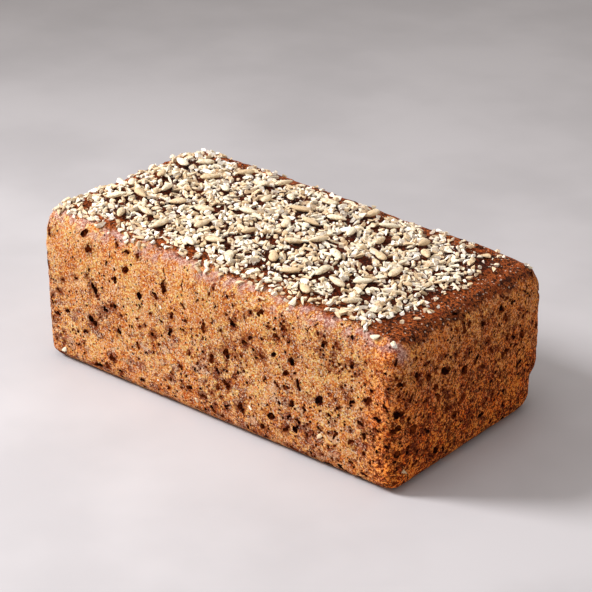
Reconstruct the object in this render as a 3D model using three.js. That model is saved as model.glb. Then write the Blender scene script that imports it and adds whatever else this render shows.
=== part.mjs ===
// A seeded wholegrain tin loaf: one baked loaf with whole sunflower kernels lying on its top crust.
// Units are millimetres and +Z is up. The origin is the middle of the base, +X runs along the loaf.
import * as THREE from "three";
import { mergeVertices } from "three/addons/utils/BufferGeometryUtils.js";

// The loaf, as the tin shapes it.
const LENGTH = 220;
const WIDTH = 117;
const RIM_HEIGHT = 77.4; // height of the walls where they turn into the top crust
const CORNER_R = 7; // rounding of the four upright edges, and of the rims seen from above
const TOP_RIM_R = 11; // how far below the top crust the rim starts to turn
const BASE_RIM_R = 6.5;
const FOOT_TURN = 0.5; // radians by which the foot turns up at once, so that the flat base has a clear edge
const FOOT_BOW = 0.2; // the flat base's edges bow in by this much, so that it stands on its corners
const BACK_TAPER = 0.65; // each end of the -Y wall stands out by this much, and of the +Y wall in

// What the oven does to that shape.
const DOME = 2.5; // rise of the top crust in the middle
const END_RISE = 3.5; // the -X end stands this much above the middle, and the +X end as much below
const CORNER_DROP = 1.3; // the top crust sinks by this much at its corners
const WALL_BOW = 0.9; // the walls bow out by this much at mid-length
const WALL_LEAN = 1; // and lean in by this much below the rim
const RIPPLE = 0.35; // slow unevenness of the walls and the top crust
const CHIP_DEPTH = 2.2; // crust missing from the foot of the +X +Y corner
const CHIP_HEIGHT = 19;
const CHIP_REACH = 16;
const CHIP_LIFT = 0.8; // how far the crust beside that corner's foot turns up

// Grid of the loaf's surface: segments on each flat stretch, and on each rounding beside it.
const FLAT_SEGMENTS = [22, 12, 8];
const ROUND_SEGMENTS = 4;

// The whole sunflower kernels.
const KERNEL_COUNT = 48;
const KERNEL_LENGTH = 10.2;
const KERNEL_WIDTH = 4.9;
const KERNEL_THICKNESS = 2.7;
const KERNEL_SIZE_SPREAD = 0.12; // each kernel differs from these sizes by up to this share
const KERNEL_LEAN = 0.14; // radians, at most
const KERNEL_SPACING = 11.5; // least distance between the middles of two kernels
const RESTING_GAP = 0.3;
const KERNEL_RINGS = [10, 7]; // segments round a kernel and along it

// The kernels' field on the top crust, by its distances from the loaf's four sides.
const FIELD = { minX: 15, maxX: 36, minY: 13, maxY: 15 };

const CRUST_COLOUR = 0xb06a35;
const KERNEL_COLOUR = 0xd3c49a;

const HALF = [LENGTH / 2, WIDTH / 2, RIM_HEIGHT / 2];

function smooth(low, high, value) {
  return THREE.MathUtils.smoothstep(value, low, high);
}

// The same well-spread number in 0..1 on every run, for a counter and a stream.
function spread(index, base) {
  let result = 0;
  let share = 1 / base;
  for (let rest = index; rest > 0; rest = Math.floor(rest / base)) {
    result += (rest % base) * share;
    share /= base;
  }
  return result;
}

// How high the baked top crust lies above the rim's height at x, y.
function topRise(x, y) {
  const along = x / HALF[0];
  const across = y / HALF[1];
  const dome = DOME * (1 - along ** 4) * (1 - across ** 2);
  const ripple = RIPPLE * (Math.sin(x / 11 + 1) * Math.cos(y / 9) + Math.sin((x + y) / 17));
  return dome - END_RISE * along + ripple;
}

// One grid line's place along an axis: evenly spaced on the flat, by equal angles on the rounding.
function gridLine(index, flatSegments, half, radius) {
  const total = flatSegments + 2 * ROUND_SEGMENTS;
  const fromEnd = Math.min(index, total - index);
  const sign = index < total / 2 ? -1 : 1;
  const flatHalf = half - radius;
  if (fromEnd >= ROUND_SEGMENTS) {
    return flatHalf * ((2 * (index - ROUND_SEGMENTS)) / flatSegments - 1);
  }
  const turn = (Math.PI / 4) * (1 - fromEnd / ROUND_SEGMENTS);
  return sign * (flatHalf + radius * Math.tan(turn));
}

// Turns a direction on the foot's rounding further up, except straight down and level.
function turnUpFoot(out) {
  const level = Math.hypot(out.x, out.y);
  if (level < 1e-6 || out.z > -1e-6) return;
  const turn = Math.atan2(level, -out.z);
  const turned = FOOT_TURN + turn * (1 - FOOT_TURN / (Math.PI / 2));
  const factor = Math.sin(turned) / level;
  out.set(out.x * factor, out.y * factor, -Math.cos(turned));
}

// A point of the box's grid moved onto the rounded box, whose base is at z = 0.
function roundedPoint(grid) {
  const rims = [CORNER_R, CORNER_R, grid[2] < 0 ? BASE_RIM_R : TOP_RIM_R];
  const inner = grid.map((g, axis) =>
    THREE.MathUtils.clamp(g, rims[axis] - HALF[axis], HALF[axis] - rims[axis]),
  );
  const out = new THREE.Vector3(...grid.map((g, axis) => (g - inner[axis]) / rims[axis]));
  out.normalize();
  if (grid[2] < 0) turnUpFoot(out);
  return new THREE.Vector3(
    inner[0] + rims[0] * out.x,
    inner[1] + rims[1] * out.y,
    inner[2] + rims[2] * out.z + HALF[2],
  );
}

// The tin's shape changed by baking: bowed walls, a risen top and a chipped foot.
function baked(point) {
  const along = point.x / HALF[0];
  const across = point.y / HALF[1];
  const up = point.z / RIM_HEIGHT;
  const offBase = smooth(0.02, 0.15, up);
  const belly = WALL_BOW * offBase * (1 - up ** 2);
  const wallRipple = RIPPLE * offBase * Math.sin(point.x / 13 + point.z / 8) * Math.sin(point.z / 10);
  const lean = WALL_LEAN * smooth(0.72, 1, up);
  const nearCorner =
    smooth(0, 1, point.z) *
    smooth(HALF[0] - CHIP_REACH, HALF[0] - 1, point.x) *
    smooth(HALF[1] - CHIP_REACH, HALF[1] - 1, point.y);
  const chip = CHIP_DEPTH * nearCorner * (1 - smooth(CHIP_HEIGHT, CHIP_HEIGHT + 3, point.z));
  const lift = CHIP_LIFT * nearCorner * (1 - smooth(2, 14, point.z));
  const drop = CORNER_DROP * along ** 8 * across ** 6;
  const bow = FOOT_BOW * (1 - smooth(0, 1, point.z));
  const inX = along * (BACK_TAPER * across + lean + bow * (1 - across ** 2)) + chip;
  const inY = across * (lean + bow * (1 - along ** 2)) + chip;
  return new THREE.Vector3(
    point.x + along ** 9 * belly * (1 - across ** 2) - inX,
    point.y + across ** 9 * (belly * (1 - along ** 2) + wallRipple) - inY,
    point.z + smooth(0.6, 1, up) * (topRise(point.x, point.y) - drop) + lift,
  );
}

function loafGeometry() {
  const segments = FLAT_SEGMENTS.map((flat) => flat + 2 * ROUND_SEGMENTS);
  const geometry = new THREE.BoxGeometry(2, 2, 2, ...segments);
  geometry.deleteAttribute("normal");
  geometry.deleteAttribute("uv");
  const position = geometry.getAttribute("position");
  for (let i = 0; i < position.count; i++) {
    const cube = [position.getX(i), position.getY(i), position.getZ(i)];
    const grid = cube.map((value, axis) => {
      const index = Math.round(((value + 1) / 2) * segments[axis]);
      const radius = axis < 2 ? CORNER_R : value < 0 ? BASE_RIM_R : TOP_RIM_R;
      return gridLine(index, FLAT_SEGMENTS[axis], HALF[axis], radius);
    });
    const point = baked(roundedPoint(grid));
    position.setXYZ(i, point.x, point.y, point.z);
  }
  const closed = mergeVertices(geometry, 1e-4);
  closed.computeBoundingBox();
  const middle = closed.boundingBox.getCenter(new THREE.Vector3());
  closed.translate(-middle.x, -middle.y, -closed.boundingBox.min.z);
  closed.computeVertexNormals();
  return { geometry: closed, shift: middle };
}

// A flat teardrop along X, with its blunt end at -X and its point at +X.
function kernelGeometry(size) {
  const geometry = new THREE.SphereGeometry(1, ...KERNEL_RINGS);
  geometry.rotateZ(-Math.PI / 2);
  geometry.deleteAttribute("normal");
  geometry.deleteAttribute("uv");
  const position = geometry.getAttribute("position");
  for (let i = 0; i < position.count; i++) {
    const along = position.getX(i);
    const taper = 1 - 0.42 * smooth(-0.5, 1.1, along);
    position.setXYZ(
      i,
      (along * size.length) / 2,
      (position.getY(i) * taper * size.width) / 2,
      (position.getZ(i) * (0.55 + 0.45 * taper) * size.thickness) / 2,
    );
  }
  const closed = mergeVertices(geometry, 1e-4);
  closed.computeVertexNormals();
  return closed;
}

// The middles of the kernels on the top crust: spread over the field, none too near another.
function kernelPlaces() {
  const places = [];
  for (let i = 1; places.length < KERNEL_COUNT && i < 4000; i++) {
    const x = THREE.MathUtils.lerp(FIELD.minX - HALF[0], HALF[0] - FIELD.maxX, spread(i, 2));
    const y = THREE.MathUtils.lerp(FIELD.minY - HALF[1], HALF[1] - FIELD.maxY, spread(i, 3));
    if (places.every((p) => Math.hypot(p.x - x, p.y - y) >= KERNEL_SPACING)) {
      places.push({ x, y });
    }
  }
  return places;
}

// One kernel laid on the crust, leaning with it and a little of its own, with the gap left under it.
function layKernel(mesh, place, index, loafShift) {
  const step = 1;
  const slopeX = (topRise(place.x + step, place.y) - topRise(place.x - step, place.y)) / (2 * step);
  const slopeY = (topRise(place.x, place.y + step) - topRise(place.x, place.y - step)) / (2 * step);
  const up = new THREE.Vector3(-slopeX, -slopeY, 1).normalize();
  const lean = new THREE.Euler(
    KERNEL_LEAN * (2 * spread(index, 11) - 1),
    KERNEL_LEAN * (2 * spread(index, 13) - 1),
    2 * Math.PI * spread(index, 5),
  );
  mesh.quaternion.setFromUnitVectors(new THREE.Vector3(0, 0, 1), up);
  mesh.quaternion.multiply(new THREE.Quaternion().setFromEuler(lean));
  mesh.position.set(place.x, place.y, RIM_HEIGHT + topRise(place.x, place.y));
  mesh.updateMatrixWorld(true);

  const position = mesh.geometry.getAttribute("position");
  const corner = new THREE.Vector3();
  let least = Infinity;
  for (let i = 0; i < position.count; i++) {
    corner.fromBufferAttribute(position, i).applyMatrix4(mesh.matrixWorld);
    least = Math.min(least, corner.z - RIM_HEIGHT - topRise(corner.x, corner.y));
  }
  mesh.position.z += RESTING_GAP - least;
  mesh.position.x -= loafShift.x;
  mesh.position.y -= loafShift.y;
}

function addLoaf(group) {
  const { geometry, shift } = loafGeometry();
  const crust = new THREE.MeshStandardMaterial({
    color: CRUST_COLOUR,
    roughness: 0.75,
    metalness: 0,
  });
  const loaf = new THREE.Mesh(geometry, crust);
  loaf.name = "loaf";
  group.add(loaf);
  return shift;
}

function addKernels(group, loafShift) {
  const skin = new THREE.MeshStandardMaterial({
    color: KERNEL_COLOUR,
    roughness: 0.55,
    metalness: 0,
  });
  kernelPlaces().forEach((place, i) => {
    const index = i + 1;
    const scale = 1 + KERNEL_SIZE_SPREAD * (2 * spread(index, 7) - 1);
    const size = {
      length: KERNEL_LENGTH * scale,
      width: KERNEL_WIDTH * (1 + KERNEL_SIZE_SPREAD * (2 * spread(index, 11) - 1)),
      thickness: KERNEL_THICKNESS,
    };
    const kernel = new THREE.Mesh(kernelGeometry(size), skin);
    kernel.name = "kernel_" + String(index).padStart(2, "0");
    layKernel(kernel, place, index, loafShift);
    group.add(kernel);
  });
}

const tinLoaf = new THREE.Group();
const loafShift = addLoaf(tinLoaf);
addKernels(tinLoaf, loafShift);

export default tinLoaf;
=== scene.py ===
"""A seeded wholegrain tin loaf: its baked crust with open pores, and the sunflower kernels strewn on it."""

import math
import random
from contextlib import contextmanager

import bpy
import numpy as np
from mathutils import Euler, Matrix, Quaternion, Vector, noise
from mathutils.bvhtree import BVHTree
from mathutils.kdtree import KDTree


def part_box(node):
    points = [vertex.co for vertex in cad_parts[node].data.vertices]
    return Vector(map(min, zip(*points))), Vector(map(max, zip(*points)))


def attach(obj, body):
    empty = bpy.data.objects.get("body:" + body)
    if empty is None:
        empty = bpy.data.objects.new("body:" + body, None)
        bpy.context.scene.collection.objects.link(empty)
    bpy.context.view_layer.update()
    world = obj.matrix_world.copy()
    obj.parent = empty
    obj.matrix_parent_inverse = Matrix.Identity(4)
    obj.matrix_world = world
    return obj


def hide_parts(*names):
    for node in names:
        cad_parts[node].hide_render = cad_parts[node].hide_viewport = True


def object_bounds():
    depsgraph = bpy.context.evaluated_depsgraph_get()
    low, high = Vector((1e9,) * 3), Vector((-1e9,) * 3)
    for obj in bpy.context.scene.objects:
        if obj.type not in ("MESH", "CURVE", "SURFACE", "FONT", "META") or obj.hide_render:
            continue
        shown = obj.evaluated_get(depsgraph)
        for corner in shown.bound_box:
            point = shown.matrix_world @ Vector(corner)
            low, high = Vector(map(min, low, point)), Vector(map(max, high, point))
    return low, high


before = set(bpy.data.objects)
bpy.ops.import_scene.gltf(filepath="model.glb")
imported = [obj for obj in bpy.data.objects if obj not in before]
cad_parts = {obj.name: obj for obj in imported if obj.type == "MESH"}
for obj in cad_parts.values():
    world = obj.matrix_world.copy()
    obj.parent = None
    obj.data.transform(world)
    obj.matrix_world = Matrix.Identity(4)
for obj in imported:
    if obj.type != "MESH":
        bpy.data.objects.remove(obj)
cad_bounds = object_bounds()

MM = 0.001
LOAF_LOW, LOAF_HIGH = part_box("loaf")
HALF_LENGTH = LOAF_HIGH.x
HALF_WIDTH = LOAF_HIGH.y
LOAF_TOP = LOAF_HIGH.z
END_SLOPE = -0.032  # the top crust falls towards the +X end
WALL_TOP = LOAF_TOP - 3 * MM  # height of the top crust above the middle of a rim

# The crust's mesh, and its relief: for each layer the size of its swells, its strength and its share.
CRUST_GRID = 1.8 * MM
RELIEF = (
    ("slow", 17 * MM, 0.9 * MM, "free"),
    ("lumps", 3.6 * MM, 0.8 * MM, "free"),
    ("nubs", 3.0 * MM, 2.1 * MM, "crown"),
)

RELIEF_LEVEL = 0.68  # the relief's value that stays in place: what is above it stands out

# Pores: how many, their radii, and how much rarer the wide ones are.
LARGE_PORES, LARGE_RADIUS, LARGE_SKEW = 560, (0.7 * MM, 2.3 * MM), 2.2
SMALL_PORES, SMALL_RADIUS, SMALL_SKEW = 1250, (0.38 * MM, 0.85 * MM), 1.6
TORN_CORNER = (108 * MM, -54 * MM, 27 * MM)  # pores crowd together here
# Pores that stand out: their place along and up the wall, and their radius, in millimetres.
FRONT_PORES = (
    (-75, 29, 2.7), (-67, 37, 1.7), (-61, 42, 1.9), (-59, 56, 1.8), (-21, 48, 1.7),
    (-23, 40, 2.0), (13, 39, 2.4), (16, 56, 1.8), (87, 57, 1.6), (86, 40, 1.7),
    (95, 43, 2.2), (100, 36, 1.7), (93, 26, 1.7), (87, 20, 1.7),
)
END_PORES = (
    (-21, 49, 3.0), (-8, 43, 2.6), (-43, 54, 1.9), (26, 39, 2.5), (25, 57, 2.0),
    (10, 51, 1.8), (-14, 24, 2.1), (8, 14, 1.8), (-36, 40, 1.8), (-27, 11, 2.2),
    (-55, 40, 2.4), (-49, 35, 2.0), (-45, 28, 2.5), (-58, 32, 2.3), (-48, 20, 2.0),
)
# Cracks in the -Y wall: their place along it, their upper end and their length, in millimetres.
CRACKS = ((-63, 71, 5), (-27, 74, 14), (-15, 69, 6), (-1, 75, 7), (61, 71, 8))
CRACK_WIDTH, CRACK_DEPTH = 0.6 * MM, 5 * MM
PALE_CORNER = (-97 * MM, -59 * MM, 8 * MM)  # a pale chip shows in the crust here
MAP_GAP = 4 * MM  # between the sides of the crust on its bake map
MAP_MARGIN = 0.03  # round each chip's cell on the chips' bake maps

# The topping of chopped kernels.
MASTER_KERNEL = (10.2 * MM, 4.8 * MM, 2.7 * MM)
CHIP_COUNT = 2600
CHIP_SCALES = (0.52, 0.88)
# Chips that lie apart near the +X end, in millimetres along X and Y.
LONE_CHIPS = ((102, -56), (105, -53), (108, -39), (109, -33), (101, -31), (100, -20), (109, -16))
STRIPS = 4  # the chips are joined into this many pieces, side by side across the loaf
STRAY_COUNT = 16  # chips baked into the walls
HEIGHT_CELL = 0.4 * MM  # grid of the heights that the chips come to rest on
MOST_PILED = 2.2 * MM  # how far above the crust a chip may come to rest
MOST_HIGH = cad_bounds[1].z - 0.4 * MM  # no chip reaches higher
MOST_SUNK = 8 * MM  # how far below the rims' height the crust under a chip may lie
COVERED = 0.3 * MM  # what stands this far above the crust is covered already
KEPT_CLEAR = 1.0 * MM  # round the middle of each whole kernel
SPREAD_SHARE = 0.84  # of the chips lie beside each other, and the rest on others
BESIDE_COVER, PILED_COVER = 0.12, 0.7  # how much of a chip may lie on others, in each case
TRIES_PER_CHIP = 14  # at most
# How far in from a side the chips begin, and how far in they lie thickly.
BACK_BORDER = (9 * MM, 18 * MM)
LEFT_BORDER = (4 * MM, 12 * MM)
RIGHT_BORDER = (15 * MM, 24 * MM)
OUTER_BORDER = (2 * MM, 4 * MM)

# The camera: degrees round from the -Y side and up, metres away, and its lens.
CAMERA_AZIMUTH, CAMERA_ELEVATION = 40.23, 25.05
CAMERA_DISTANCE = 0.9933
CAMERA_LENS = 122.3
CAMERA_RIGHT, CAMERA_UP = 3.8 * MM, 40.1 * MM  # the middle of its view, from the origin


def smooth(low, high, value):
    """0 below low, 1 above high, and an even curve between them. Works on arrays."""
    share = np.clip((value - low) / (high - low), 0, 1)
    return share * share * (3 - 2 * share)


# ---------------- tools for objects


def link(obj):
    bpy.context.scene.collection.objects.link(obj)


def select_only(*objects):
    bpy.ops.object.select_all(action="DESELECT")
    for each in objects:
        each.select_set(True)
    bpy.context.view_layer.objects.active = objects[0]


@contextmanager
def all_in_edit_mode():
    """Edit mode on the active mesh, with all of it selected."""
    bpy.ops.object.mode_set(mode="EDIT")
    bpy.ops.mesh.select_all(action="SELECT")
    yield
    bpy.ops.object.mode_set(mode="OBJECT")


def finish_with(obj, kind, **settings):
    """Adds a modifier and applies it."""
    modifier = obj.modifiers.new(kind.lower(), kind)
    for key, value in settings.items():
        setattr(modifier, key, value)
    select_only(obj)
    bpy.ops.object.modifier_apply(modifier=modifier.name)


def merged_copy(node, name):
    """A copy of a CAD solid with its vertices merged."""
    piece = bpy.data.objects.new(name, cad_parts[node].data.copy())
    piece.data.name = name
    piece.data.materials.clear()
    link(piece)
    select_only(piece)
    with all_in_edit_mode():
        bpy.ops.mesh.remove_doubles(threshold=0.001 * MM)
    if piece.data.has_custom_normals:
        bpy.ops.mesh.customdata_custom_splitnormals_clear()
    return piece


def points_of(items, name, width=3):
    """One property of all a mesh's vertices, faces or map corners, as an array."""
    found = np.empty(len(items) * width, np.float32)
    items.foreach_get(name, found)
    return found.reshape(-1, width) if width > 1 else found


def mark(mesh, name, values):
    """An attribute with one number per vertex, or the same number for all."""
    attribute = mesh.attributes.new(name, "FLOAT", "POINT")
    attribute.data.foreach_set("value", np.full(len(mesh.vertices), values, np.float32))


def weigh(obj, name, weights):
    """A vertex group with one weight per vertex."""
    group = obj.vertex_groups.new(name=name)
    for index, weight in enumerate(weights):
        group.add([index], float(weight), "REPLACE")


def cloud_texture(name, size, depth=2):
    texture = bpy.data.textures.new(name, "CLOUDS")
    texture.noise_scale = size
    texture.noise_depth = depth
    return texture


def joined_copies(name, places):
    """One mesh made of copies of small models: places holds (model, matrix, tone) for each.

    A model's bake map gets a cell of its own for every copy."""
    copies = []
    across = math.ceil(math.sqrt(len(places)))
    for number, (model, matrix, tone) in enumerate(places):
        mesh = model.data.copy()
        mesh.transform(matrix)
        if "OFBake" in mesh.uv_layers:
            layer = mesh.uv_layers["OFBake"]
            flat = points_of(layer.uv, "vector", 2)
            cell = np.array([number % across, number // across])
            flat = (MAP_MARGIN + (1 - 2 * MAP_MARGIN) * flat + cell) / across
            layer.uv.foreach_set("vector", flat.astype(np.float32).ravel())
        mark(mesh, "tone", tone)
        copies.append(bpy.data.objects.new(name, mesh))
    for copy in copies:
        link(copy)
    select_only(*copies)
    bpy.ops.object.join()
    whole = bpy.context.view_layer.objects.active
    whole.name = name
    whole.data.name = name
    return whole


def remove(*objects):
    for obj in objects:
        bpy.data.objects.remove(obj)


# ---------------- tools for materials


def srgb(red, green, blue):
    """A linear colour from 0 to 255 display values."""
    parts = [c / 255 for c in (red, green, blue)]
    return tuple(c / 12.92 if c <= 0.04045 else ((c + 0.055) / 1.055) ** 2.4 for c in parts) + (1.0,)


class Nodes:
    """Adds nodes to a tree. An input's value is a number, a colour or another node's output."""

    def __init__(self, tree):
        self.tree = tree

    def add(self, kind, inputs=(), **settings):
        node = self.tree.nodes.new("ShaderNode" + kind)
        for key, value in settings.items():
            setattr(node, key, value)
        for key, value in dict(inputs).items():
            self.plug(node.inputs[key], value)
        return node

    def plug(self, socket, value):
        if isinstance(value, bpy.types.NodeSocket):
            self.tree.links.new(value, socket)
        else:
            socket.default_value = value

    def math(self, operation, first, second):
        return self.add("Math", {0: first, 1: second}, operation=operation).outputs[0]

    def plus(self, first, second):
        return self.math("ADD", first, second)

    def minus(self, first, second):
        return self.math("SUBTRACT", first, second)

    def times(self, first, second):
        return self.math("MULTIPLY", first, second)

    def scaled(self, vector, factor):
        inputs = {0: vector, "Scale": factor}
        return self.add("VectorMath", inputs, operation="SCALE").outputs[0]

    def stretched(self, vector, factors):
        return self.add("VectorMath", {0: vector, 1: factors}, operation="MULTIPLY").outputs[0]

    def shifted(self, vector, other):
        return self.add("VectorMath", {0: vector, 1: other}, operation="ADD").outputs[0]

    def noise(self, vector, size, detail=2.0, roughness=0.5):
        inputs = {"Vector": vector, "Scale": 1 / size, "Detail": detail, "Roughness": roughness}
        return self.add("TexNoise", inputs).outputs[0]

    def noise_colour(self, vector, size, detail=1.0):
        inputs = {"Vector": vector, "Scale": 1 / size, "Detail": detail}
        return self.add("TexNoise", inputs).outputs[1]

    def cells(self, vector, scale):
        return self.add("TexVoronoi", {"Vector": vector, "Scale": scale}).outputs

    def ramp(self, value, low, high, start=0.0, end=1.0):
        inputs = {"Value": value, 1: low, 2: high, 3: start, 4: end}
        return self.add("MapRange", inputs, interpolation_type="SMOOTHSTEP").outputs[0]

    def mix(self, share, first, second, blend="MIX"):
        node = self.add("Mix", data_type="RGBA", blend_type=blend)
        for index, value in ((0, share), (6, first), (7, second)):
            self.plug(node.inputs[index], value)
        return node.outputs[2]

    def over(self, base, mask, strength, colour):
        """A colour laid over a base where the mask is, as strongly as given."""
        return self.mix(self.times(mask, strength), base, colour)

    def group(self, tree, inputs):
        node = self.tree.nodes.new("ShaderNodeGroup")
        node.node_tree = tree
        for key, value in inputs.items():
            self.plug(node.inputs[key], value)
        return node.outputs


SOCKETS = {"vector": "NodeSocketVector", "value": "NodeSocketFloat", "colour": "NodeSocketColor"}


def new_group(name, inputs, outputs):
    """A shader node group with named sockets. Returns its tools, its inputs and what takes its outputs."""
    tree = bpy.data.node_groups.new(name, "ShaderNodeTree")
    for key, kind in inputs.items():
        tree.interface.new_socket(key, in_out="INPUT", socket_type=SOCKETS[kind])
    for key, kind in outputs.items():
        tree.interface.new_socket(key, in_out="OUTPUT", socket_type=SOCKETS[kind])
    nodes = Nodes(tree)
    made = tree.nodes.new("NodeGroupOutput")

    def give(**results):
        for key, value in results.items():
            nodes.plug(made.inputs[key], value)
        return tree

    return nodes, tree.nodes.new("NodeGroupInput").outputs, give


def sandy_group():
    """The coarse, floury grit of baked wholegrain dough: a share of light, dark specks and a height."""
    nodes, given, give = new_group(
        "Sandy Grit",
        {"Place": "vector", "Size": "value"},
        {"Shade": "value", "Speck": "value", "Fleck": "value", "Height": "value"},
    )
    place = nodes.scaled(given["Place"], nodes.math("DIVIDE", 1.0, given["Size"]))
    place = nodes.shifted(place, nodes.scaled(nodes.noise_colour(place, 0.8), 0.6))
    pick = nodes.add("SeparateColor", {0: nodes.cells(place, 1.0)["Color"]}).outputs
    fine = nodes.ramp(nodes.noise(place, 2.2, detail=4.0, roughness=0.8), 0.34, 0.66)
    both = nodes.plus(nodes.times(fine, 0.68), nodes.times(pick[0], 0.32))
    shade = nodes.ramp(both, 0.22, 0.78)
    clumps = nodes.noise(place, 9.0, detail=3.0)
    speck = nodes.ramp(nodes.plus(pick[1], nodes.times(clumps, 0.9)), 0.46, 0.38)
    height = nodes.minus(both, nodes.times(speck, 0.8))
    return give(Shade=shade, Speck=speck, Fleck=nodes.ramp(pick[2], 0.78, 0.9), Height=height)


def pinholes_group():
    """Small round holes in some of the cells of a pattern: 1 inside a hole."""
    nodes, given, give = new_group(
        "Pinholes",
        {"Place": "vector", "Spacing": "value", "Radius": "value", "Share": "value"}, {"Hole": "value"},
    )
    warp = nodes.scaled(nodes.noise_colour(given["Place"], 1.4), 0.9)
    place = nodes.shifted(given["Place"], warp)
    scale = nodes.math("DIVIDE", 1.0, given["Spacing"])
    cells = nodes.cells(place, scale)
    pick = nodes.add("SeparateColor", {0: cells["Color"]}).outputs[0]
    reach = nodes.times(given["Radius"], scale)
    reach = nodes.times(reach, nodes.plus(pick, 0.6))
    inside = nodes.ramp(nodes.math("DIVIDE", cells["Distance"], reach), 1.15, 0.75)
    chosen = nodes.math("LESS_THAN", pick, given["Share"])
    return give(Hole=nodes.times(inside, chosen))


def grains_group():
    """Cooked grains pressed flat in the wall: 1 inside a grain, its rim, and a random share per grain."""
    nodes, given, give = new_group(
        "Pressed Grains",
        {"Place": "vector", "Spacing": "value", "Share": "value"},
        {"Grain": "value", "Rim": "value", "Pick": "value"},
    )
    warp = nodes.scaled(nodes.noise_colour(given["Place"], 6.0, detail=2.0), 5.0)
    place = nodes.stretched(nodes.shifted(given["Place"], warp), (0.75, 0.75, 1.25))
    cells = nodes.cells(place, nodes.math("DIVIDE", 1.0, given["Spacing"]))
    parts = nodes.add("SeparateColor", {0: cells["Color"]}).outputs
    reach = nodes.plus(nodes.times(parts[1], 0.24), 0.28)
    chosen = nodes.math("LESS_THAN", parts[0], given["Share"])
    near = nodes.minus(cells["Distance"], reach)
    inside = nodes.ramp(near, 0.05, -0.03)
    rim = nodes.times(nodes.ramp(near, -0.07, 0.0), nodes.ramp(near, 0.09, 0.0))
    return give(Grain=nodes.times(inside, chosen), Rim=nodes.times(rim, chosen), Pick=parts[2])


def crown_group():
    """Where the walls give way to the dark top crust, and the pale strip of painted sheen under the -Y rim.
    """
    nodes, given, give = new_group(
        "Crown", {"Place": "vector"}, {"Crown": "value", "Band": "value", "Inset": "value"}
    )
    xyz = nodes.add("SeparateXYZ", {0: given["Place"]}).outputs
    top = nodes.plus(nodes.times(xyz[0], END_SLOPE), WALL_TOP / MM)
    drop = nodes.minus(top, xyz[2])
    ragged = nodes.minus(nodes.noise(given["Place"], 9.0, 4.0, 0.65), 0.5)
    ragged = nodes.times(ragged, 17.0)
    # For each side: how far in from it the top crust's colour begins, in millimetres.
    sides = (
        (xyz[0], 1, HALF_LENGTH, -4.0),
        (xyz[0], -1, HALF_LENGTH, 2.0),
        (xyz[1], 1, HALF_WIDTH, 0.0),
        (xyz[1], -1, HALF_WIDTH, 4.5),
    )
    crown = 1.0
    least = HALF_LENGTH / MM
    for place, sign, half, start in sides:
        inset = nodes.minus(half / MM, nodes.times(place, float(sign)))
        along = nodes.plus(nodes.minus(inset, drop), ragged)
        crown = nodes.times(crown, nodes.ramp(along, start - 2.5, start + 2.5))
        least = nodes.math("MINIMUM", least, nodes.minus(inset, drop))
    # The last of the sides is the one with the painted sheen.
    painted_sheen = nodes.times(nodes.ramp(along, -9.0, 0.0), nodes.ramp(along, 13.0, 6.0))
    painted_sheen = nodes.times(painted_sheen, nodes.ramp(inset, 14.0, 8.0))
    return give(Crown=crown, Band=painted_sheen, Inset=least)


def toasting_group():
    """Uneven toasting of a kernel: pale, with a tan blush and a few brown flecks."""
    nodes, given, give = new_group(
        "Toasting",
        {"Place": "vector", "Tone": "value", "Pale": "colour", "Tan": "colour", "Brown": "colour"},
        {"Colour": "colour", "Height": "value"},
    )
    blush = nodes.noise(given["Place"], 2.2, 3.0)
    share = nodes.ramp(nodes.plus(blush, nodes.times(given["Tone"], 0.6)), 0.5, 1.0)
    colour = nodes.mix(share, given["Pale"], given["Tan"])
    fleck = nodes.ramp(nodes.noise(given["Place"], 0.9, 4.0, 0.75), 0.52, 0.68, 0.0, 0.7)
    colour = nodes.mix(fleck, colour, given["Brown"])
    return give(Colour=colour, Height=nodes.noise(given["Place"], 0.45, 3.0, 0.6))


def new_material(name, roughness, specular=0.5):
    """A material with its nodes' tools, its shader and the place in millimetres."""
    material = bpy.data.materials.new(name)
    material.use_nodes = True
    nodes = Nodes(material.node_tree)
    shader = material.node_tree.nodes["Principled BSDF"]
    shader.inputs["Roughness"].default_value = roughness
    shader.inputs["Specular IOR Level"].default_value = specular
    place = nodes.add("TexCoord").outputs["Object"]
    return material, nodes, shader, nodes.scaled(place, 1 / MM)


def bumped(nodes, shader, height, depth):
    """Feeds the shader's normal with a height that stands for depth in metres."""
    bump = nodes.add("Bump", {"Height": height, "Distance": depth, "Strength": 1.0})
    nodes.plug(shader.inputs["Normal"], bump.outputs[0])


# ---------------- materials

sandy = sandy_group()
pinholes = pinholes_group()
grains = grains_group()
crown = crown_group()
toasting = toasting_group()


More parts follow.
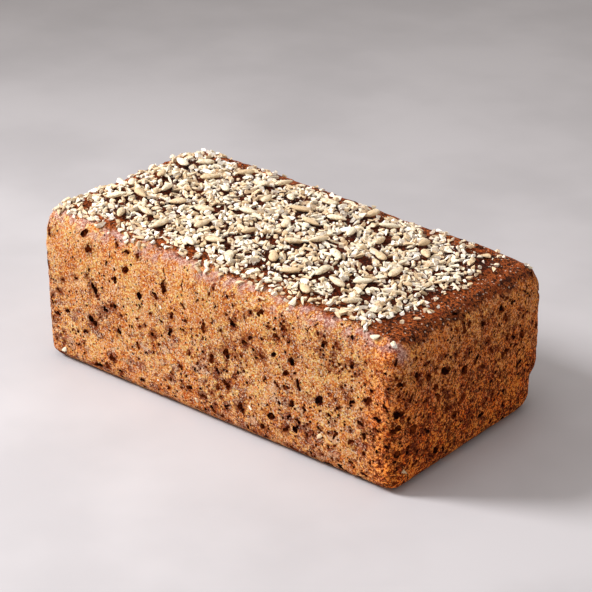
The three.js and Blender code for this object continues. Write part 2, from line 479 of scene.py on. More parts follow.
def wall_colour(nodes, place, xyz, grit):
    """Golden to reddish brown dough with pressed grains, darker and torn towards the foot and the +X end,
    with painted shade, painted relief contrast and painted glints on that end.

    Returns its colour and three masks of hollows: blotches, tears and crumbly spots."""
    shade = grit["Shade"]
    slow = nodes.ramp(nodes.noise(place, 14.0, 4.0, 0.6), 0.42, 0.58)
    golden = nodes.mix(shade, srgb(220, 116, 42), srgb(255, 214, 130))
    ruddy = nodes.mix(shade, srgb(192, 82, 22), srgb(252, 178, 94))
    wall = nodes.mix(slow, golden, ruddy)
    light = nodes.ramp(nodes.noise(place, 5.0, 4.0, 0.6), 0.5, 0.62, 0.0, 0.75)
    wall = nodes.mix(light, wall, nodes.mix(shade, srgb(234, 134, 66), srgb(255, 212, 146)))

    pale_end = nodes.ramp(xyz[0], -60.0, 20.0, -0.05, -0.015)
    coarse = nodes.times(pale_end, nodes.ramp(xyz[2], 34.0, 66.0))
    swell = nodes.ramp(nodes.noise(place, 24.0, 2.0), 0.38, 0.62, -0.03, 0.045)
    coarse = nodes.plus(coarse, swell)
    blotch = nodes.plus(nodes.noise(place, 4.0, 4.0, 0.68), coarse)
    blotch = nodes.ramp(blotch, 0.54, 0.61, 0.0, 0.75)
    wall = nodes.mix(blotch, wall, nodes.mix(shade, srgb(110, 34, 8), srgb(214, 112, 50)))

    low = nodes.ramp(xyz[2], 56.0, 16.0, 0.12, 1.0)
    pressed = nodes.group(grains, {"Place": place, "Spacing": 5.2, "Share": 0.7})
    dusky = nodes.mix(shade, srgb(90, 30, 22), srgb(198, 122, 98))
    pick = nodes.ramp(pressed["Pick"], 0.6, 0.72)
    grain = nodes.times(pressed["Grain"], low)
    wall = nodes.over(wall, grain, 0.7, nodes.mix(pick, dusky, srgb(226, 178, 140)))
    rim = nodes.times(pressed["Rim"], low)
    wall = nodes.over(wall, rim, 0.7, srgb(72, 26, 10))
    bran = nodes.group(grains, {"Place": place, "Spacing": 2.9, "Share": 0.6})
    heap = nodes.times(nodes.ramp(nodes.noise(place, 9.0, 3.0), 0.46, 0.58), low)
    heap = nodes.times(heap, bran["Grain"])
    browner = nodes.ramp(bran["Pick"], 0.3, 0.8)
    wall = nodes.over(wall, heap, 0.8, nodes.mix(browner, srgb(104, 34, 26), srgb(196, 118, 88)))
    wall = nodes.over(wall, grit["Speck"], 0.6, srgb(112, 42, 12))
    # Pale floury flecks, partly painted glints on the brightest grains.
    wall = nodes.over(wall, grit["Fleck"], 0.7, srgb(255, 232, 204))

    # Darker towards the foot and the +X end. At the +X end this is partly a darker crust and partly painted
    # shade and warm bounce light, as that end is turned away from the key.
    foot = nodes.ramp(xyz[2], 22.0, 0.0, 0.0, 0.3)
    far_end = nodes.ramp(xyz[0], 84.0, 109.0)
    far_end = nodes.times(far_end, nodes.ramp(xyz[2], 72.0, 8.0, 0.5, 1.0))
    darker = nodes.math("MAXIMUM", foot, far_end)
    wall = nodes.mix(darker, wall, nodes.mix(1.0, wall, (1.16, 0.54, 0.22, 1), "MULTIPLY"))
    ragged = nodes.noise(nodes.stretched(place, (1.0, 1.0, 0.8)), 4.2, 5.0, 0.72)
    torn = nodes.times(nodes.ramp(ragged, 0.53, 0.6), darker)
    wall = nodes.over(wall, torn, 0.85, nodes.mix(shade, srgb(44, 8, 0), srgb(140, 52, 16)))
    # Painted glints: light spots on the +X end, partly lighter crumb.
    glint_spots = nodes.ramp(nodes.noise(place, 3.1, 4.0, 0.7), 0.54, 0.64, 0.0, 0.6)
    wall = nodes.over(wall, glint_spots, far_end, nodes.mix(shade, srgb(180, 88, 32), srgb(255, 176, 92)))
    # Painted light and shade: the grit's contrast is raised on the +X end to stand for the relief that the
    # soft light there does not show.
    relief_contrast = nodes.mix(nodes.ramp(shade, 0.25, 0.75), (0.42, 0.36, 0.3, 1), (1.5, 1.5, 1.4, 1))
    wall = nodes.mix(far_end, wall, nodes.mix(1.0, wall, relief_contrast, "MULTIPLY"))

    near_pore = nodes.add("Attribute", attribute_name="near_pore").outputs["Fac"]
    crumbly = nodes.plus(nodes.noise(place, 1.2, 4.0, 0.7), nodes.times(near_pore, 0.2))
    crumbly = nodes.ramp(nodes.plus(crumbly, coarse), 0.61, 0.7)
    wall = nodes.over(wall, crumbly, 0.8, nodes.mix(shade, srgb(84, 22, 6), srgb(168, 76, 34)))
    return wall, blotch, torn, crumbly


def top_colour(nodes, place, grit, inset):
    """Glossy mahogany with floury flecks, partly painted glints, and painted shade darkening it where the
    topping covers it. Returns its nubs as well.
    """
    shade = grit["Shade"]
    top = nodes.mix(shade, srgb(60, 16, 3), srgb(214, 112, 52))
    russet = nodes.ramp(nodes.noise(place, 4.0, 3.0), 0.5, 0.66)
    top = nodes.over(top, russet, 0.5, srgb(178, 74, 22))
    nubs = nodes.noise(place, 2.3, 3.0, 0.6)
    top = nodes.mix(nodes.ramp(nubs, 0.52, 0.6, 0.0, 0.85), top, srgb(40, 10, 2))
    top = nodes.over(top, grit["Speck"], 0.8, srgb(30, 7, 2))
    # Painted shade: the crust darkens away from the sides, where the topping covers it, for the shade between
    # the chips.
    shade_under_topping = nodes.ramp(inset, 9.0, 20.0, 0.0, 0.9)
    top = nodes.mix(shade_under_topping, top, nodes.mix(1.0, top, srgb(128, 96, 90), "MULTIPLY"))
    # Pale floury flecks on the top crust, partly painted glints on its nubs.
    flour_and_glints = nodes.group(pinholes, {"Place": place, "Spacing": 1.7, "Radius": 0.5, "Share": 0.4})
    return nodes.over(top, flour_and_glints["Hole"], 0.9, srgb(248, 220, 196)), nubs


def crust_material():
    """Pitted golden walls, the mahogany top crust, and a lilac-pink strip of painted sheen under the -Y rim.
    """
    material, nodes, shader, place = new_material("baked_crust", 0.8, 0.07)
    grit = nodes.group(sandy, {"Place": place, "Size": 0.52})
    zone = nodes.group(crown, {"Place": place})
    xyz = nodes.add("SeparateXYZ", {0: place}).outputs
    wall, blotch, torn, crumbly = wall_colour(nodes, place, xyz, grit)
    # Painted sheen: a pale, mottled lilac-pink strip under the -Y rim stands for light reflected off the
    # glossy rim.
    pale = nodes.mix(grit["Shade"], srgb(168, 104, 92), srgb(248, 208, 198))
    mottled = nodes.ramp(nodes.noise(place, 5.0, 3.0), 0.4, 0.6)
    wall = nodes.over(wall, nodes.times(zone["Band"], mottled), 0.8, pale)
    top, nubs = top_colour(nodes, place, grit, zone["Inset"])
    colour = nodes.mix(zone["Crown"], wall, top)
    # Painted shade: dark dots on the walls stand for pinholes too small to cut.
    holes = nodes.group(pinholes, {"Place": place, "Spacing": 2.3, "Radius": 0.5, "Share": 0.6})
    on_wall = nodes.minus(1.0, zone["Crown"])
    dark = nodes.times(holes["Hole"], on_wall)
    colour = nodes.over(colour, dark, 0.9, srgb(62, 18, 4))
    nodes.plug(shader.inputs["Base Color"], colour)

    nodes.plug(shader.inputs["Roughness"], nodes.ramp(zone["Crown"], 0.0, 1.0, 0.8, 0.5))
    height = grit["Height"]
    sunk_nubs = nodes.times(nubs, zone["Crown"])
    for hollow, depth in ((dark, 1.5), (blotch, 0.5), (torn, 1.2), (crumbly, 0.8), (sunk_nubs, 3.0)):
        height = nodes.minus(height, nodes.times(hollow, depth))
    bumped(nodes, shader, height, 0.8 * MM)
    return material


def pore_material():
    """The inside of a pore, nearly black with painted shade, and reddish brown in random patches."""
    material, nodes, shader, place = new_material("open_pore", 0.7, 0.05)
    grit = nodes.group(sandy, {"Place": place, "Size": 0.6})
    # Painted shade: the near-black colour stands for the shade deep inside a pore.
    deep = nodes.mix(grit["Shade"], srgb(14, 3, 1), srgb(66, 20, 6))
    warm = nodes.ramp(nodes.noise(place, 6.0, 2.0), 0.42, 0.54)
    shallow = nodes.mix(grit["Shade"], srgb(84, 24, 6), srgb(184, 86, 34))
    nodes.plug(shader.inputs["Base Color"], nodes.over(deep, warm, 0.75, shallow))
    bumped(nodes, shader, grit["Height"], 0.3 * MM)
    return material


def kernel_material(name, pale, tan, brown, roughness, depth):
    """Sunflower kernel: its thin skin, or its broken flesh."""
    material, nodes, shader, place = new_material(name, roughness, 0.3)
    tone = nodes.add("Attribute", attribute_name="tone").outputs["Fac"]
    toast = nodes.group(toasting, {"Place": place, "Tone": tone, "Pale": pale, "Tan": tan, "Brown": brown})
    nodes.plug(shader.inputs["Base Color"], toast["Colour"])
    bumped(nodes, shader, toast["Height"], depth)
    return material


baked_crust = crust_material()
open_pore = pore_material()
kernel_skin = kernel_material(
    "kernel_skin", srgb(244, 232, 204), srgb(216, 188, 148), srgb(130, 90, 54), 0.55, 0.45 * MM
)
kernel_flesh = kernel_material(
    "kernel_flesh", srgb(254, 248, 236), srgb(232, 204, 166), srgb(156, 104, 62), 0.62, 0.2 * MM
)


# ---------------- the baked crust


def roughen(crust):
    """Slow unevenness and small lumps on the walls, and nubs on the top crust. The base stays flat."""
    place = points_of(crust.data.vertices, "co")
    below_top = WALL_TOP + END_SLOPE * place[:, 0] - place[:, 2]
    free = smooth(0.6 * MM, 5 * MM, place[:, 2])
    crown_share = smooth(5 * MM, 0, below_top) * free
    weigh(crust, "free", free)
    weigh(crust, "crown", crown_share)
    for name, size, strength, group in RELIEF:
        finish_with(
            crust, "DISPLACE", texture=cloud_texture(name, size), texture_coords="LOCAL",
            strength=strength, mid_level=RELIEF_LEVEL, vertex_group=group,
        )


def line_with_pore_wall(cutter):
    """Gives a cutter the crust's two materials, and all its faces the second."""
    mesh = cutter.data
    mesh.materials.clear()
    mesh.materials.append(baked_crust)
    mesh.materials.append(open_pore)
    mesh.polygons.foreach_set("material_index", np.ones(len(mesh.polygons), np.int32))


def blob(level, seed, place=(0, 0, 0), radius=1.0):
    """One ragged ball."""
    bpy.ops.mesh.primitive_ico_sphere_add(subdivisions=level, radius=radius, location=place)
    ball = bpy.context.object
    bpy.ops.object.transform_apply()
    with all_in_edit_mode():
        bpy.ops.transform.vertex_random(offset=0.2 * radius, seed=seed)
    return ball


def pore_models():
    """Large pores, where two or three bubbles ran together, and small angular ones."""
    runs = (
        ((-0.45, 0.0, 0.7), (0.5, 0.15, 0.62)),
        ((-0.35, -0.3, 0.66), (0.45, -0.1, 0.6), (0.1, 0.5, 0.52)),
        ((-0.55, 0.1, 0.58), (0.1, -0.1, 0.6), (0.65, 0.2, 0.45)),
        ((0.0, 0.0, 0.95),),
    )
    large = []
    for number, bubbles in enumerate(runs):
        balls = [blob(2, 10 * number + k, (x, y, 0), size) for k, (x, y, size) in enumerate(bubbles)]
        for ball in balls[1:]:
            finish_with(balls[0], "BOOLEAN", operation="UNION", object=ball, solver="MANIFOLD")
            remove(ball)
        finish_with(balls[0], "DECIMATE", ratio=0.4)
        large.append(balls[0])
    small = [blob(1, 50 + number) for number in range(4)]
    for model in large + small:
        line_with_pore_wall(model)
    return large, small


def pore_likelihood(place, normal):
    """How likely a pore is on each face of the crust: more on the +X end and near the foot, none on top."""
    wall = smooth(0.75, 0.3, normal[:, 2]) * smooth(-0.9, -0.5, normal[:, 2])
    clusters = np.array([noise.noise(Vector(p) / (14 * MM)) for p in place])
    ends = 1 + 0.7 * smooth(0.4, 0.9, normal[:, 0])
    low = 0.35 + 1.3 * smooth(74 * MM, 20 * MM, place[:, 2]) + 0.9 * smooth(-20 * MM, 80 * MM, place[:, 0])
    torn = np.linalg.norm(place - np.array(TORN_CORNER), axis=1)
    return wall * (ends * low * np.clip(0.5 + 1.7 * clusters, 0.08, None) + 5 * smooth(14 * MM, 5 * MM, torn))


def noted_spots(crust):
    """The pores that stand out, each on the face of the crust nearest to its place."""
    place = points_of(crust.data.polygons, "center")
    normal = points_of(crust.data.polygons, "normal")
    wanted = [((along * MM, LOAF_LOW.y, up * MM), radius * MM) for along, up, radius in FRONT_PORES]
    wanted += [((LOAF_HIGH.x, along * MM, up * MM), radius * MM) for along, up, radius in END_PORES]
    spots = []
    for target, radius in wanted:
        index = np.linalg.norm(place - np.array(target), axis=1).argmin()
        spots.append((Vector(place[index]), Vector(normal[index]), radius, 1.15))
    return spots


def spots_on(crust, count, radii, rng, skew, noted=()):
    """Places for pores beside the noted ones, none reaching into another of the same batch."""
    faces = crust.data.polygons
    place = points_of(faces, "center")
    normal = points_of(faces, "normal")
    area = points_of(faces, "area", 1)
    odds = area * pore_likelihood(place, normal)
    order = rng.choice(len(place), size=min(count * 6, len(place)), replace=False, p=odds / odds.sum())
    spots = list(noted)
    held = np.array([[*spot[0], spot[2] * 1.5] for spot in noted]).reshape(-1, 4)
    for index in order:
        radius = radii[0] + (radii[1] - radii[0]) * rng.random() ** skew
        stretch = 1 + 0.9 * rng.random() ** 1.5
        reach = radius * stretch * 1.25
        if len(held):
            gap = np.linalg.norm(held[:, :3] - place[index], axis=1) - held[:, 3] - reach
            if gap.min() < 0.15 * MM:
                continue
        held = np.vstack([held, [*place[index], reach]])
        spots.append((Vector(place[index]), Vector(normal[index]), radius, stretch))
        if len(spots) == count:
            break
    return spots


def pore_batch(name, models, spots, rng):
    """One cutter with a pore at each spot, turned and sunk at random."""
    copies = []
    for place, normal, radius, stretch in spots:
        turn = normal.to_track_quat("Z", "Y") @ Quaternion((0, 0, 1), rng.uniform(0, math.tau))
        deep = radius * rng.uniform(0.9, 1.7)
        size = Matrix.Diagonal((radius * stretch, radius, deep, 1))
        sunk = place - normal * deep * rng.uniform(0.0, 0.3)
        matrix = Matrix.Translation(sunk) @ turn.to_matrix().to_4x4() @ size
        copies.append((models[rng.integers(len(models))], matrix, 0.0))
    return joined_copies(name, copies)


def mark_pores(crust, spots):
    """Stores how near each vertex lies to a pore: 1 within 1.2 of its radii, 0 from 2.6 on."""
    tree = KDTree(len(spots))
    for index, spot in enumerate(spots):
        tree.insert(spot[0], index)
    tree.balance()
    found = [tree.find(vertex.co) for vertex in crust.data.vertices]
    away = np.array([distance / spots[index][2] for _, index, distance in found])
    mark(crust.data, "near_pore", smooth(2.6, 1.2, away))


def crack_batch():
    """Thin, slightly curved cracks that run down the -Y wall from the rim."""
    cracks = []
    for at, top, length in CRACKS:
        bpy.ops.mesh.primitive_cube_add(size=1, location=(at * MM, LOAF_LOW.y, (top - length / 2) * MM))
        crack = bpy.context.object
        crack.scale = (CRACK_WIDTH, CRACK_DEPTH, length * MM)
        bpy.ops.object.transform_apply(location=False, rotation=False, scale=True)
        with all_in_edit_mode():
            bpy.ops.mesh.subdivide(number_cuts=6)
            bpy.ops.transform.vertex_random(offset=0.22 * MM, seed=at + 60)
        select_only(crack)
        bpy.ops.object.transform_apply()
        finish_with(
            crack, "DISPLACE", texture=cloud_texture("crack_bend", 6 * MM, 1), texture_coords="LOCAL",
            strength=6 * MM, mid_level=0.5, direction="X",
        )
        line_with_pore_wall(crack)
        cracks.append(crack)
    select_only(*cracks)
    bpy.ops.object.join()
    return bpy.context.view_layer.objects.active


def bake_map(piece):
    """Lays the piece's six sides out beside each other on one map, each face on the side it looks to."""
    mesh = piece.data
    normal = points_of(mesh.polygons, "normal")
    axis = np.abs(normal).argmax(axis=1)
    side = axis * 2 + (normal[np.arange(len(axis)), axis] > 0)
    loops = points_of(mesh.polygons, "loop_total", 1).astype(int)
    corner_side = np.repeat(side, loops)
    vertex = np.empty(len(mesh.loops), np.int32)
    mesh.loops.foreach_get("vertex_index", vertex)
    place = points_of(mesh.vertices, "co")[vertex]
    length, width, high = 2 * HALF_LENGTH, 2 * HALF_WIDTH, LOAF_TOP
    gap = MAP_GAP
    # For each side, with -X, +X, -Y, +Y, -Z and +Z as 0 to 5: the two axes along the map, and its corner.
    layout = {
        4: (0, 1, 0, 0), 5: (0, 1, 0, width + gap),
        2: (0, 2, 0, 2 * (width + gap)), 3: (0, 2, 0, 2 * (width + gap) + high + gap),
        0: (2, 1, length + gap, 0), 1: (2, 1, length + gap, width + gap),
    }
    low = np.array([-HALF_LENGTH, -HALF_WIDTH, 0])
    across = length + gap + high
    up = 2 * (width + gap) + 2 * (high + gap)
    flat = np.zeros((len(vertex), 2))
    for key, (first, second, left, bottom) in layout.items():
        here = corner_side == key
        flat[here, 0] = place[here, first] - low[first] + left
        flat[here, 1] = place[here, second] - low[second] + bottom
    flat = (flat + gap / 2) / (max(across, up) + gap)
    layer = mesh.uv_layers.new(name="OFBake")
    layer.uv.foreach_set("vector", flat.astype(np.float32).ravel())


def build_crust():
    """The loaf's crust, remeshed and roughened, with the pores and cracks cut into it."""
    rng = np.random.default_rng(11)
    crust = merged_copy("loaf", "crust")
    finish_with(crust, "REMESH", mode="VOXEL", voxel_size=CRUST_GRID)
    roughen(crust)
    crust.data.materials.clear()
    crust.data.materials.append(baked_crust)
    crust.data.materials.append(open_pore)
    ragged, angular = pore_models()
    wide_spots = spots_on(crust, LARGE_PORES, LARGE_RADIUS, rng, LARGE_SKEW, noted_spots(crust))
    large = pore_batch("large_pores", ragged, wide_spots, rng)
    spots = spots_on(crust, SMALL_PORES, SMALL_RADIUS, rng, SMALL_SKEW)
    small = pore_batch("small_pores", angular, spots, rng)
    cracks = crack_batch()
    for cutter in (large, small, cracks):
        finish_with(
            crust, "BOOLEAN", operation="DIFFERENCE", object=cutter, solver="MANIFOLD",
            material_mode="INDEX",
        )
    remove(large, small, cracks, *ragged, *angular)
    mark_pores(crust, wide_spots + spots)
    select_only(crust)
    bpy.ops.object.shade_smooth_by_angle(angle=math.radians(42))
    return crust


# ---------------- whole kernels


def build_kernel(node, index):
    """A whole kernel in its CAD solid's place, rounded and a little uneven."""
    kernel = merged_copy(node, "whole_" + node)
    finish_with(kernel, "SUBSURF", levels=1, render_levels=1)
    finish_with(
        kernel, "DISPLACE", texture=cloud_texture("kernel_skin_relief", 1.6 * MM),
        texture_coords="LOCAL", strength=0.35 * MM, mid_level=0.45,
    )
    mark(kernel.data, "tone", random.Random(index).random())
    kernel.data.materials.append(kernel_skin)
    select_only(kernel)
    bpy.ops.object.shade_smooth()
    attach(kernel, "root")
    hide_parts(node)
    return kernel


# ---------------- chopped kernels


def master_kernel():
    """One whole kernel at the origin, blunt at -X and pointed at +X."""
    bpy.ops.mesh.primitive_uv_sphere_add(segments=10, ring_count=8, radius=0.5)
    kernel = bpy.context.object
    kernel.rotation_euler = (0, math.pi / 2, 0)
    bpy.ops.object.transform_apply()
    kernel.scale = MASTER_KERNEL
    bpy.ops.object.transform_apply()
    finish_with(kernel, "SIMPLE_DEFORM", deform_method="TAPER", factor=-0.5, deform_axis="X")
    kernel.data.materials.append(kernel_skin)
    kernel.data.materials.append(kernel_flesh)
    return kernel


def put_in_order():
    """Sorts the mesh in edit mode by its distance from a point aside: cuts leave it in no fixed order."""
    bpy.context.scene.cursor.location = (0.013, 0.029, 0.047)
    bpy.ops.mesh.sort_elements(type="CURSOR_DISTANCE", elements={"VERT", "EDGE", "FACE"})


def chop(master, seed, ends, sides, thin):
    """A chip of the kernel, between two cuts across it, two along it and one that thins it.

    The cuts are at shares of the kernel's half sizes, so past 1 they miss it."""
    rng = random.Random(seed)
    chip = master.copy()
    chip.data = master.data.copy()
    link(chip)
    select_only(chip)
    half_long, half_wide, half_thick = (size / 2 for size in MASTER_KERNEL)
    cuts = []
    for sign, share in zip((-1, 1), ends):
        slant = (sign, rng.uniform(-0.8, 0.8), rng.uniform(-0.6, 0.6))
        cuts.append(((share * half_long, 0, 0), slant))
    for sign, share in zip((-1, 1), sides):
        slant = (rng.uniform(-0.4, 0.4), sign, rng.uniform(-0.7, 0.7))
        cuts.append(((0, share * half_wide, 0), slant))
    slant = (rng.uniform(-0.4, 0.4), rng.uniform(-0.4, 0.4), 1)
    cuts.append(((0, 0, thin * half_thick), slant))
    chip.active_material_index = 1
    for place, normal in cuts:
        with all_in_edit_mode():
            bpy.ops.mesh.bisect(plane_co=place, plane_no=normal, use_fill=True, clear_outer=True)
            bpy.ops.mesh.select_mode(type="FACE")
            bpy.ops.object.material_slot_assign()
    stretch = (rng.uniform(1.0, 1.35), rng.uniform(0.75, 1.0), rng.uniform(0.8, 1.05))
    with all_in_edit_mode():
        bpy.ops.mesh.select_mode(type="VERT")
        put_in_order()
        bpy.ops.mesh.quads_convert_to_tris()
        put_in_order()
        bpy.ops.transform.resize(value=stretch)
        bpy.ops.transform.vertex_random(offset=0.15 * MM, seed=seed)
    bpy.ops.object.origin_set(type="ORIGIN_GEOMETRY", center="BOUNDS")
    chip.location = (0, 0, 0)
    bpy.ops.object.shade_smooth_by_angle(angle=math.radians(16))
    chip.data.uv_layers.remove(chip.data.uv_layers[0])
    chip.data.uv_layers.new(name="OFBake")
    with all_in_edit_mode():
        bpy.ops.uv.smart_project(angle_limit=math.radians(66), island_margin=0.01)
    return chip


def chip_models():
    """Short chips, long slivers and crumbs, cut from one kernel."""
    master = master_kernel()
    # For each: where its ends and its sides are cut, and how much of its thickness is left.
    cuts = (
        ((-1.2, -0.5), (-0.5, 1.2), 1.2), ((-0.6, -0.05), (-1.2, 0.1), 1.2),
        ((-0.2, 0.4), (-0.2, 1.2), 0.5), ((-0.8, -0.25), (-1.2, -0.1), 0.3),
        ((0.3, 1.2), (-1.2, 1.2), 1.2), ((-0.4, 0.1), (-1.2, 1.2), 0.2),
        ((-0.1, 0.45), (-0.4, 0.5), 1.2), ((-1.2, -0.55), (-1.2, 1.2), 0.4),
        ((-0.5, 0.4), (0.2, 1.2), 1.2), ((-0.7, 0.25), (-1.2, -0.3), 1.2),
        ((-0.3, 0.75), (-0.3, 0.35), 1.2), ((-0.5, -0.1), (-0.6, 0.3), 0.6),
        ((0.0, 0.5), (-1.2, 0.0), 0.8), ((-0.15, 0.2), (0.0, 1.2), 0.6),
        ((-0.9, -0.5), (-0.5, 0.4), 0.9), ((-0.2, 0.15), (-0.5, 0.2), 0.3),
    )
    chips = [chop(master, seed, *cut) for seed, cut in enumerate(cuts)]
    remove(master)
    return chips


def field_likelihood(x, y):
    """How thickly the chips lie at a place on the top crust, by its distances from the sides."""
    place = Vector((x, y, 0))
    ragged = 8 * MM * noise.noise(place / (16 * MM)) + 7 * MM * noise.noise(place / (5 * MM))
    front = y + HALF_WIDTH + ragged
    back = HALF_WIDTH - y + ragged
    left = x + HALF_LENGTH + ragged
    right = HALF_LENGTH - x + ragged
    front_edge = 5 * MM + 3 * MM * smooth(20 * MM, 70 * MM, x) + 14 * MM * smooth(70 * MM, 104 * MM, x)
    shares = (
        smooth(front_edge - 3 * MM, front_edge + 3 * MM, front),
        smooth(*BACK_BORDER, back),
        smooth(*LEFT_BORDER, left),
        smooth(*RIGHT_BORDER, right),
        smooth(*OUTER_BORDER, min(HALF_LENGTH - abs(x), HALF_WIDTH - abs(y))),
    )
    patchy = 0.5 + 1.6 * noise.noise(place / (9 * MM) + Vector((0, 0, 4)))
    bare_spot = math.hypot(x - HALF_LENGTH + 30 * MM, (y - HALF_WIDTH + 8 * MM) * 1.5)
    thinned = 0.25 + 0.75 * smooth(14 * MM, 40 * MM, bare_spot)
    # Away from the sides a few chips lie anywhere.
    lone = 0.02 * smooth(5 * MM, 8 * MM, min(front, back, left, right))
    return max(min(float(s) for s in shares) * min(max(patchy, 0.12), 1) * float(thinned), lone)


class Pile:
    """The height of what lies on the top crust, on a grid, raised by each piece laid on it."""

    def __init__(self, crust):
        tree = BVHTree.FromObject(crust, bpy.context.evaluated_depsgraph_get())
        self.columns = int(2 * HALF_LENGTH / HEIGHT_CELL) + 1
        self.rows = int(2 * HALF_WIDTH / HEIGHT_CELL) + 1
        self.ground = np.zeros((self.columns, self.rows))
        down = Vector((0, 0, -1))
        for i in range(self.columns):
            for j in range(self.rows):
                x, y = self.place(i, j)
                hit = tree.ray_cast(Vector((x, y, LOAF_TOP + 0.02)), down)[0]
                self.ground[i, j] = hit.z if hit else 0.0
        self.height = self.ground.copy()

    def place(self, i, j):
        return i * HEIGHT_CELL - HALF_LENGTH, j * HEIGHT_CELL - HALF_WIDTH

    def window(self, x, y, reach):
        """The cells within reach of a place, as two slices of the grid."""
        i = int(round((x + HALF_LENGTH) / HEIGHT_CELL))
        j = int(round((y + HALF_WIDTH) / HEIGHT_CELL))
        n = int(math.ceil(reach / HEIGHT_CELL))
        along = slice(max(i - n, 0), min(i + n + 1, self.columns))
        return along, slice(max(j - n, 0), min(j + n + 1, self.rows))

    def under(self, x, y, long, wide, turn):
        """The cells round an oval piece: their slices, their shares out (under 1 inside) and offsets."""
        cut = self.window(x, y, long)
        i, j = np.mgrid[cut]
        cell_x, cell_y = self.place(i, j)
        dx, dy = cell_x - x, cell_y - y
        along = (dx * math.cos(turn) + dy * math.sin(turn)) / long
        across = (dy * math.cos(turn) - dx * math.sin(turn)) / wide
        out = along**2 + across**2
        return cut, out, along * long, across * wide

    def lay(self, x, y, long, wide, thick, turn, crowd):
        """Where a piece comes to rest: its middle's height and its two slopes, or None if it is too high."""
        cut, out, along, across = self.under(x, y, long, wide, turn)
        inside = out < 1
        if inside.sum() < 4:  # too small to find a slope
            return None
        height = self.height[cut][inside]
        ground = self.ground[cut][inside]
        rest = np.quantile(height, 0.6)
        if ground.min() < WALL_TOP + END_SLOPE * x - MOST_SUNK or rest - ground.mean() > MOST_PILED:
            return None
        if (height - ground > COVERED).mean() > crowd or rest + thick > MOST_HIGH:
            return None
        slope_along = np.clip(np.polyfit(along[inside], height, 1)[0], -0.5, 0.5)
        slope_across = np.clip(np.polyfit(across[inside], height, 1)[0], -0.5, 0.5)
        raised = rest + thick * 0.9 * np.sqrt(np.clip(1 - out, 0, 1))
        self.height[cut] = np.where(inside, np.maximum(self.height[cut], raised), self.height[cut])
        return rest + 0.4 * thick, slope_along, slope_across


def footprint(model):
    """Half of a chip's length and width, and its whole thickness."""
    size = model.dimensions
    return size.x / 2, size.y / 2, size.z


def lay_whole_kernels(pile, kernels):
    """Raises the pile where the whole kernels lie, and returns their middles."""
    middles = []
    for kernel in kernels:
        place = points_of(kernel.data.vertices, "co")
        middles.append(place.mean(axis=0)[:2])
        flat = place[:, :2] - place[:, :2].mean(axis=0)
        spread, axes = np.linalg.eigh(flat.T @ flat / len(flat))
        turn = math.atan2(axes[1, 1], axes[0, 1])
        long, wide = np.sqrt(spread[1]) * 1.8, np.sqrt(spread[0]) * 1.8
        cut, out, _, _ = pile.under(*middles[-1], long, wide, turn)
        top = place[:, 2].max()
        pile.height[cut] = np.where(out < 1, np.maximum(pile.height[cut], top), pile.height[cut])
    return np.array(middles)


def strew_chips(models, pile, kernels, rng):
    """Drops chips over the field. Whole kernels stay in sight."""
    middles = lay_whole_kernels(pile, kernels)
    places = []
    lone = [(x * MM, y * MM) for x, y in LONE_CHIPS]
    tries = 0
    while len(places) < CHIP_COUNT and tries < CHIP_COUNT * TRIES_PER_CHIP:
        tries += 1
        x = rng.uniform(-HALF_LENGTH, HALF_LENGTH)
        y = rng.uniform(-HALF_WIDTH, HALF_WIDTH)
        if lone:
            x, y = lone.pop()
        elif rng.random() > field_likelihood(x, y):
            continue
        if np.linalg.norm(middles - (x, y), axis=1).min() < KEPT_CLEAR:
            continue
        model = models[rng.integers(len(models))]
        scale = rng.uniform(*CHIP_SCALES)
        long, wide, thick = (scale * size for size in footprint(model))
        turn = rng.uniform(0, math.tau)
        crowd = BESIDE_COVER if rng.random() < SPREAD_SHARE else PILED_COVER
        found = pile.lay(x, y, long, wide, thick, turn, crowd)
        if found is None:
            continue
        height, slope_along, slope_across = found
        lean_x = math.atan(slope_across) + rng.normal(0, 0.16)
        lean_y = -math.atan(slope_along) + rng.normal(0, 0.16)
        lean = Euler((lean_x, lean_y, 0))
        flip = Euler((math.pi * rng.integers(2) + rng.normal(0, 0.12), 0, 0))
        matrix = (
            Matrix.Translation((x, y, height)) @ Matrix.Rotation(turn, 4, "Z")
            @ lean.to_matrix().to_4x4() @ flip.to_matrix().to_4x4() @ Matrix.Scale(scale, 4)
        )
        places.append((model, matrix, float(rng.random() ** 1.6)))
    return places


def stick_strays(crust, models, rng):
    """A few chips baked into the walls, most of them low down, and one pale kernel end at a corner."""
    faces = crust.data.polygons
    place = points_of(faces, "center")
    normal = points_of(faces, "normal")
    area = points_of(faces, "area", 1)
    slot = points_of(faces, "material_index", 1)
    low = 0.05 + smooth(32 * MM, 8 * MM, place[:, 2])
    odds = area * low * smooth(0.3, 0.1, np.abs(normal[:, 2])) * (slot < 0.5)
    chosen = rng.choice(len(place), size=STRAY_COUNT, replace=False, p=odds / odds.sum())
    corner = np.linalg.norm(place - np.array(PALE_CORNER), axis=1) + (slot > 0.5)
    kernel_end = models[4]
    places = [baked_in(kernel_end, place[corner.argmin()], normal[corner.argmin()], 0.95, 0.0, rng)]
    for index in chosen:
        model = models[rng.integers(len(models))]
        tone = float(rng.random())
        places.append(baked_in(model, place[index], normal[index], rng.uniform(0.4, 0.8), tone, rng))
    return places


def baked_in(model, place, normal, scale, tone, rng):
    """Where a chip lies in a wall, more than half of it sunk in."""
    normal = Vector(normal)
    turn = normal.to_track_quat("Z", "Y") @ Quaternion((0, 0, 1), rng.uniform(0, math.tau))
    sunk = Vector(place) - normal * 0.25 * scale * model.dimensions.z
    return model, Matrix.Translation(sunk) @ turn.to_matrix().to_4x4() @ Matrix.Scale(scale, 4), tone


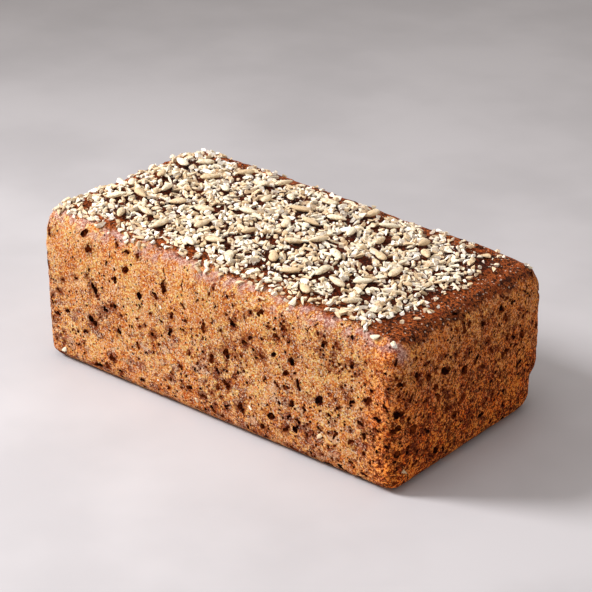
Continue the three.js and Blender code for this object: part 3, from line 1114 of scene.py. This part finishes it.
def build_chips(crust, kernels):
    """The chips on the top crust, in strips side by side, and the few baked into the walls."""
    rng = np.random.default_rng(5)
    models = chip_models()
    pile = Pile(crust)
    places = strew_chips(models, pile, kernels, rng)
    strips = [[] for _ in range(STRIPS)]
    for place in places:
        y = place[1].translation.y
        strips[min(int((y + HALF_WIDTH) / (2 * HALF_WIDTH / STRIPS)), STRIPS - 1)].append(place)
    pieces = []
    for number, share in enumerate(strips, 1):
        pieces.append(joined_copies(f"chopped_kernels_{number}", share))
    pieces.append(joined_copies("baked_in_chips", stick_strays(crust, models, rng)))
    remove(*models)
    for piece in pieces:
        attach(piece, "root")


# ---------------- camera, floor and light


def add_camera():
    """The camera, in front and to the right of the loaf and a little above it."""
    azimuth = math.radians(CAMERA_AZIMUTH)
    elevation = math.radians(CAMERA_ELEVATION)
    back = Vector((
        math.sin(azimuth) * math.cos(elevation),
        -math.cos(azimuth) * math.cos(elevation),
        math.sin(elevation),
    ))
    right = Vector((math.cos(azimuth), math.sin(azimuth), 0))
    up = back.cross(right)
    data = bpy.data.cameras.new("camera")
    data.sensor_width = 36
    data.lens = CAMERA_LENS
    data.clip_start = 0.05
    camera = bpy.data.objects.new("camera", data)
    turned = Matrix((right, up, back)).transposed().to_4x4()
    middle = right * CAMERA_RIGHT + up * CAMERA_UP
    camera.matrix_world = Matrix.Translation(middle + back * CAMERA_DISTANCE) @ turned
    link(camera)
    bpy.context.scene.camera = camera


def add_floor():
    """A plain pale floor."""
    material, nodes, shader, place = new_material("plaster_floor", 0.6)
    cloudy = nodes.ramp(nodes.noise(place, 130.0, 4.0), 0.35, 0.65)
    nodes.plug(shader.inputs["Base Color"], nodes.mix(cloudy, srgb(172, 169, 171), srgb(182, 179, 181)))
    bpy.ops.mesh.primitive_plane_add(size=6, location=(0, 0, -0.2 * MM))
    floor = bpy.context.object
    floor.name = "floor"
    floor.data.materials.append(material)


def add_area_light(name, place, target, size, power, colour):
    data = bpy.data.lights.new(name, "AREA")
    data.shape = "DISK"
    data.size = size
    data.spread = math.radians(70)
    data.energy = power
    data.color = colour
    light = bpy.data.objects.new(name, data)
    aim = (Vector(target) - Vector(place)).to_track_quat("-Z", "Y")
    light.matrix_world = Matrix.Translation(place) @ aim.to_matrix().to_4x4()
    link(light)


def add_light():
    """Soft studio light: a key from the left, a little from above, and an even room."""
    world = bpy.data.worlds.new("studio")
    world.use_nodes = True
    background = world.node_tree.nodes["Background"]
    background.inputs["Color"].default_value = (1.0, 0.94, 0.9, 1)
    background.inputs["Strength"].default_value = 0.6
    bpy.context.scene.world = world
    add_area_light("key", (-0.9, -0.62, 0.88), (0.05, -0.1, 0), 0.45, 4.8, (1.0, 0.99, 1.0))
    add_area_light("overhead", (0, -0.2, 1.2), (0.08, -0.15, 0), 0.6, 0.5, (1.0, 0.99, 1.0))
    bpy.context.scene.view_settings.view_transform = "Standard"


# ---------------- the whole

add_camera()
add_floor()
add_light()

crust = build_crust()
bake_map(crust)
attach(crust, "root")
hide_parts("loaf")

kernel_nodes = sorted(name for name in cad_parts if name.startswith("kernel_"))
kernels = [build_kernel(node, index) for index, node in enumerate(kernel_nodes)]
build_chips(crust, kernels)
